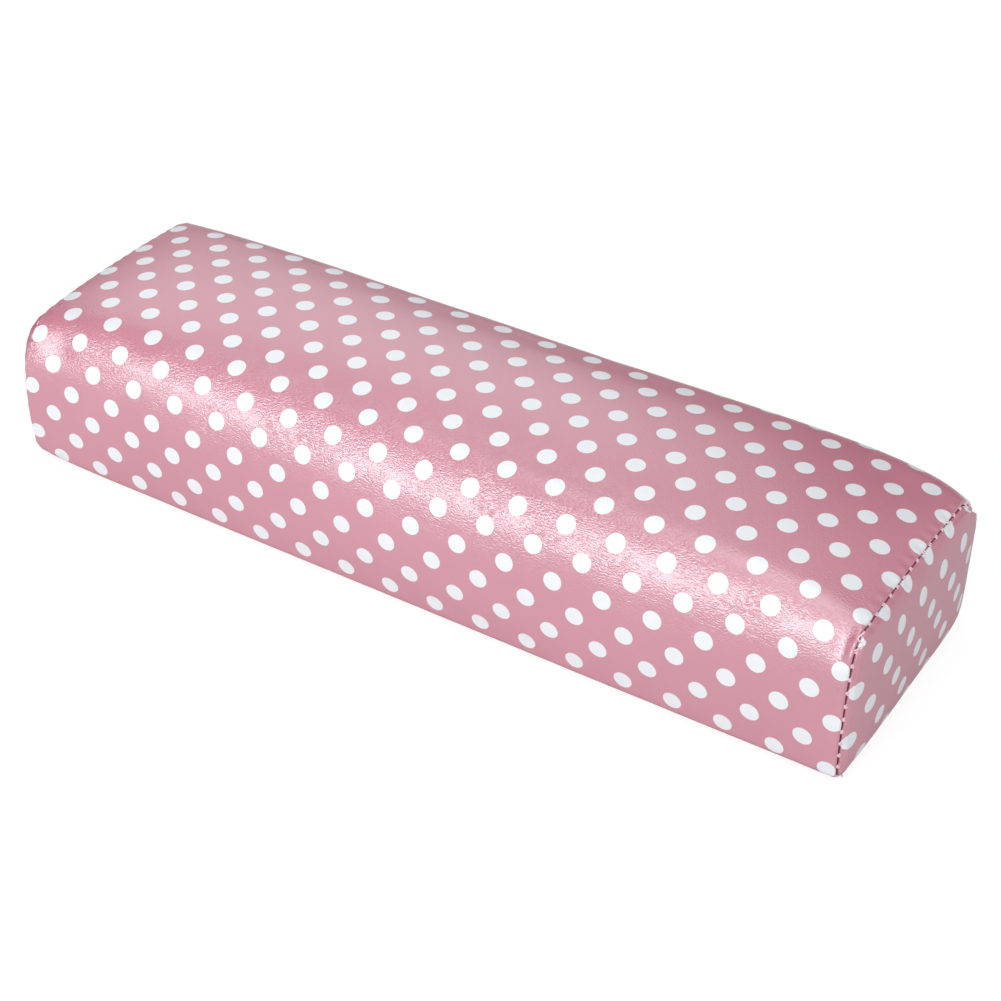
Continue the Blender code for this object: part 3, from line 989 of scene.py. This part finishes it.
def end_matrices(side, places=None):
    """Where the strands of an end seam lie: at every stitch, or at these shares of it."""
    middle = (FOLD_REACH + FOLD_RADIUS) / 2
    points, shares, into = closed_ring(side * (HALF_LENGTH - middle), middle)
    rng = np.random.default_rng(SEAM_DRAW[side])
    found = []
    for place in np.arange(STITCHES) / STITCHES if places is None else places:
        share = np.array([place])
        y, z, in_y, in_z = [np.interp(share, shares, values)[0] for values in (*points.T, *into.T)]
        deeper = seam_marks(share, side, 0.0)[0][0]
        middle_of_seam = (side * (HALF_LENGTH - middle - deeper), y + in_y * deeper, z + in_z * deeper)
        across = Vector((side * ROOT_HALF, in_y * ROOT_HALF, in_z * ROOT_HALF)).normalized()
        outward = Vector((side * ROOT_HALF, -in_y * ROOT_HALF, -in_z * ROOT_HALF)).normalized()
        lean = Matrix.Rotation(rng.normal(LEAN, LEAN_SPREAD), 3, outward)
        found.append(frame_at(Vector(middle_of_seam), lean @ across, outward))
    return found


def corner_shares(side):
    """Shares of the way round of the front's two corners, where the thread is tied off."""
    points, shares, _ = closed_ring(side * HALF_LENGTH, 0.0)
    return [shares[np.argmax(points @ (-1.0, up))] for up in (1.0, -1.0)]


for side, end in ((1, "right"), (-1, "left")):
    top_corner, base_corner = end_matrices(side, corner_shares(side))
    loose = [(top_corner, *TOP_TAIL), (base_corner, *BASE_TAIL)] if side > 0 else []
    make_stitches(f"end_stitches_{end}", f"end_seam_thread_{end}", end_matrices(side), loose)

# %% [markdown]
# ### The base seam
# The seam that closes the sleeve is straight, so its stitches are the same ones laid in a row along X,
# each leaning the same way.

# %% The base seam
BASE_STITCH_PITCH = 0.0048
BASE_LEAN = 0.12
base_reach = HALF_LENGTH - BASE_SEAM_END - BASE_SEAM_FADE
base_count = int(2 * base_reach / BASE_STITCH_PITCH)
base_places = (np.arange(base_count + 1) - base_count / 2) * BASE_STITCH_PITCH
base_across = Vector((BASE_LEAN, 1.0, 0.0)).normalized()
base_matrices = [
    frame_at(Vector((x, 0.0, FOLD_RADIUS)), base_across, Vector((0.0, 0.0, -1.0))) for x in base_places]
make_stitches("base_stitches", "base_seam_thread", base_matrices)

# %% [markdown]
# ## The sponge block
# The block fills the cover, with a slot round each end and one under the base, where the turned-in
# edges of the cloth lie. It is grown ring by ring from one end to the other, and follows the same
# dents and the same swelling as the cover, so that neither cuts into the other.

# %% The sponge
CORE_INSET = 0.0011  # from the outside of the cover to the sponge
CORE_BEND, CORE_GAP = 0.0003, 0.0014
CLEARANCE = 0.0003
CORE_ROWS = 60
CORE_STATIONS = 60
CORE_FOLD_STEPS = 4
CORE_FACE = (0.002, 0.005)  # rings on each end face, measured from the fold
CORE_REACH = HALF_LENGTH - 0.005


def notched(x, inset):
    """The start of the sponge's outline, in the slot for the base seam."""
    top = inset + base_standing(x) * (BASE_ALLOWANCE + FOLD_RADIUS)
    half = HALF_GAP + CORE_INSET
    return np.array([[0.0, top], [half, top], [half + 0.0002, inset]])


def sponge_places():
    """Every ring of the sponge from the left end to the right: (x, inset)."""
    turns = np.linspace(0.0, HALF_TURN, CORE_FOLD_STEPS)
    past = CORE_BEND * np.sin(turns) - FOLD_REACH - CORE_GAP
    fold = list(zip(past, CORE_INSET + CORE_BEND - CORE_BEND * np.cos(turns)))
    run = (END_ALLOWANCE + CLEARANCE) * ROOT_HALF
    fold.append((fold[-1][0] - run, fold[-1][1] + run))
    face = [(-inset, -past) for past, inset in reversed(fold)]
    face += [(-CORE_INSET, FOLD_REACH + extra) for extra in CORE_FACE]
    right = [(HALF_LENGTH + past, inset) for past, inset in fold + face]
    middle = np.linspace(-1.0, 1.0, CORE_STATIONS) * CORE_REACH
    return [(-x, inset) for x, inset in reversed(right)] + [(x, CORE_INSET) for x in middle] + right


def make_sponge():
    rings = []
    for x, inset in sponge_places():
        points, _, lengths = around(x, inset, notched(x, inset), CORE_ROWS)
        before = max(HALF_LENGTH - FOLD_REACH - abs(x), 0.0)
        points = points + inward(points) * (sunk(x, lengths) * (1 - near_seam(before)))[:, None]
        rings.append([(x, y, z) for y, z in points[:-1]])
    work = grow_solid(rings)
    places = np.array([vert.co for vert in work.verts])
    piece = finish_piece("sponge_block", work, sponge_material, places + swelling(places))
    dress(piece, ["foam_core"])


make_sponge()

# %% [markdown]
# ## Camera
# The camera stands in front of the rest, to the right and well above it, so that the top, the front
# and one end all show. A long lens keeps the far end from looking small.

# %% The camera
# where it stands, which way it looks, and which way its right is
CAMERA_PLACE = Vector((0.30692, -0.50527, 0.44240))
CAMERA_FORWARD = Vector((-0.41295, 0.69646, -0.58687))
CAMERA_RIGHT = Vector((0.85079, 0.52494, 0.02431))
camera_data = bpy.data.cameras.new("camera")
camera_data.sensor_width = 36.0
camera_data.lens = 82.34
camera = bpy.data.objects.new("camera", camera_data)
bpy.context.scene.collection.objects.link(camera)
back = -CAMERA_FORWARD.normalized()
up = back.cross(CAMERA_RIGHT).normalized()
right = up.cross(back).normalized()
camera.matrix_world = Matrix.Translation(CAMERA_PLACE) @ Matrix((right, up, back)).transposed().to_4x4()
bpy.context.scene.camera = camera
bpy.context.scene.view_settings.view_transform = "Standard"

# %% [markdown]
# ## Lamps and world
# A shiny cover shows its lamps, so they are large and soft. The low box in front is mirrored in the
# front bend as one long highlight, and the dark gap between it and the higher box draws the line above
# it. The box behind brightens the far half of the top. The world fills the rest with a weak, uneven
# glow, which lifts the end panel.

# %% Lamps
LIT_PLACE = (0.0, 0.0, 0.03)


def softbox(name, place, width, height, strength):
    lamp = bpy.data.lights.new(name, "AREA")
    lamp.shape = "RECTANGLE"
    lamp.size, lamp.size_y = width, height
    lamp.energy = strength
    item = bpy.data.objects.new(name, lamp)
    item.location = place
    item.rotation_mode = "QUATERNION"
    item.rotation_quaternion = (Vector(place) - Vector(LIT_PLACE)).to_track_quat("Z", "Y")
    bpy.context.scene.collection.objects.link(item)


softbox("front_left_low_box", (-0.565, -1.48, 0.52), 1.35, 0.6, 11.9)
softbox("front_high_box", (-0.18, -1.44, 1.00), 1.0, 0.9, 4.0)
softbox("back_left_box", (-1.0, 1.2, 0.95), 1.2, 1.2, 5.0)
softbox("overhead_box", (0.0, -0.2, 1.7), 1.6, 1.2, 6.0)

# %% The world
GLOWS = (  # side that it comes from, spread, level
    ((0.7, -0.7, 0.3), 2.0, 0.86),
    ((0.0, 0.0, 1.0), 4.0, 0.80),
    ((1.0, 0.0, 0.2), 1.0, 0.46),
)
world = bpy.data.worlds.new("studio")
bpy.context.scene.world = world
world.use_nodes = True
studio = Tree(world.node_tree)
direction = studio.node("ShaderNodeTexCoord")


def glow_from(side, spread, level):
    """Soft light from one side of the studio, fading with the angle from it."""
    facing = studio.node("ShaderNodeVectorMath", {"operation": "DOT_PRODUCT"},
                         {0: direction, 1: Vector(side).normalized()}).pick("Value")
    return facing.clamped() ** spread * level


seen = studio.node("ShaderNodeLightPath").pick("Is Camera Ray")
right_glow, top_glow, side_glow = [glow_from(*glow) for glow in GLOWS]
lit = right_glow + top_glow + side_glow
background = studio.nodes["Background"]
background.inputs["Color"].default_value = (1.0, 1.0, 1.0, 1.0)
studio.put(background.inputs["Strength"], lit * (1 - seen) + seen)

# %% [markdown]
# ## The table
# The rest stands on a white table. To the camera it glows a little, which takes it to the white of the
# background but leaves a soft shadow. To the rest it is an ordinary pale surface.

# %% The table
TABLE_SIZE, TABLE_DROP = 3.0, 0.0002
TABLE_GREY = (0.66, 0.66, 0.66, 1.0)
TABLE_LIFT, TABLE_GLOW = 0.72, 1.2
table_work = bmesh.new()
bmesh.ops.create_grid(table_work, x_segments=1, y_segments=1, size=TABLE_SIZE)
bmesh.ops.translate(table_work, verts=table_work.verts, vec=(0.0, 0.0, -TABLE_DROP))
table_finish = Finish("white_table", Roughness=0.9, Base_Color=TABLE_GREY)
lift = table_finish.node("ShaderNodeLightPath").pick("Is Camera Ray") * TABLE_LIFT
glow = table_finish.node("ShaderNodeEmission", {}, {"Color": (1.0, 1.0, 1.0, 1.0), "Strength": TABLE_GLOW})
shown = table_finish.node("ShaderNodeMixShader", {}, {
    0: lift, 1: Socket(table_finish, table_finish.shader.outputs[0]), 2: glow})
table_finish.put(table_finish.nodes["Material Output"].inputs["Surface"], shown)
table = finish_piece("table", table_work, table_finish.material)
table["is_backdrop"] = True

# %% [markdown]
# ## Measure and finish
# The dressed rest is measured once more, and both boxes are written down, so that it is plain how far
# the cloth stands past the solids.

# %% Measure and finish
dressed_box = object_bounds()
for label, box in (("solid", solid_box), ("dressed", dressed_box)):
    print(label, [tuple(round(v, 4) for v in c) for c in box])
